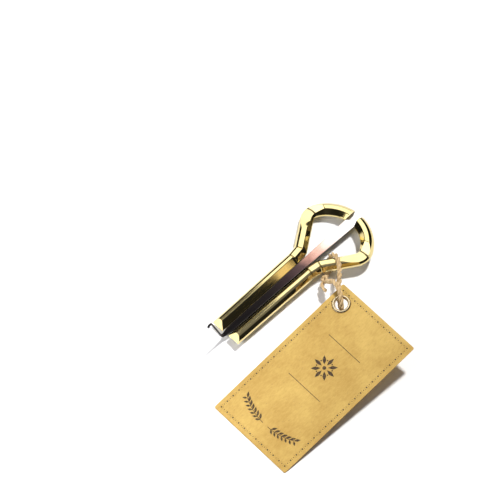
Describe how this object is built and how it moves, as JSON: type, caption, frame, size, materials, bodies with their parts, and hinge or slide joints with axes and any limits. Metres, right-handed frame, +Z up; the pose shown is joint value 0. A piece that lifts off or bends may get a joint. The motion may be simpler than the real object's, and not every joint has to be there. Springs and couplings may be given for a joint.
{
  "type": "jaw harp",
  "caption": "Brass jaw harp with a sprung steel reed and curled trigger, and a printed card swing tag tied to its frame by a twine loop through an eyelet.",
  "frame": {"origin": "middle of the harp's own box at table height, the harp without its twine and tag", "axes": "+Z up from the table, +X along the harp from the arm tips to the ring, +Y to the harp's left, away from the tag"},
  "size_m": [0.1272, 0.0974, 0.023],
  "materials": {
    "bow_brass": "polished",
    "reed_steel": "ground",
    "trigger_steel": "dark, tempered",
    "twine": "rough two-ply jute",
    "card": "uncoated kraft board, printed in brown",
    "eyelet_metal": "pale, rolled"
  },
  "bodies": {
    "harp": {"bow": "bow_brass", "reed_heel": "reed_steel"},
    "reed": {"reed_tongue": "reed_steel", "reed_trigger": "trigger_steel"},
    "twine": {"tag_twine": "twine", "twine_knot": "twine"},
    "tag": {"tag_card": "card", "tag_eyelet": "eyelet_metal", "eyelet_washer": "eyelet_metal"}
  },
  "joints": [
    {"name": "reed_pluck", "type": "hinge", "parent": "harp", "child": "reed", "pos_m": [0.03237, 0, 0.00489], "axis": [0.0014, 0.9961, -0.0882], "range_deg": [-5, 5], "stiffness_Nm_per_rad": 0.3},
    {"name": "tag_swing", "type": "hinge", "parent": "harp", "child": "twine", "pos_m": [0.022, -0.01029, 0.00564], "axis": [-0.8183, 0.5713, -0.0635], "range_deg": [-80, 90]},
    {"name": "tag_turn", "type": "hinge", "parent": "twine", "child": "tag", "pos_m": [0.00662, -0.03224, 0.01294], "axis": [-0.1555, 0.0022, 0.9878], "range_deg": [-15, 80]}
  ]
}
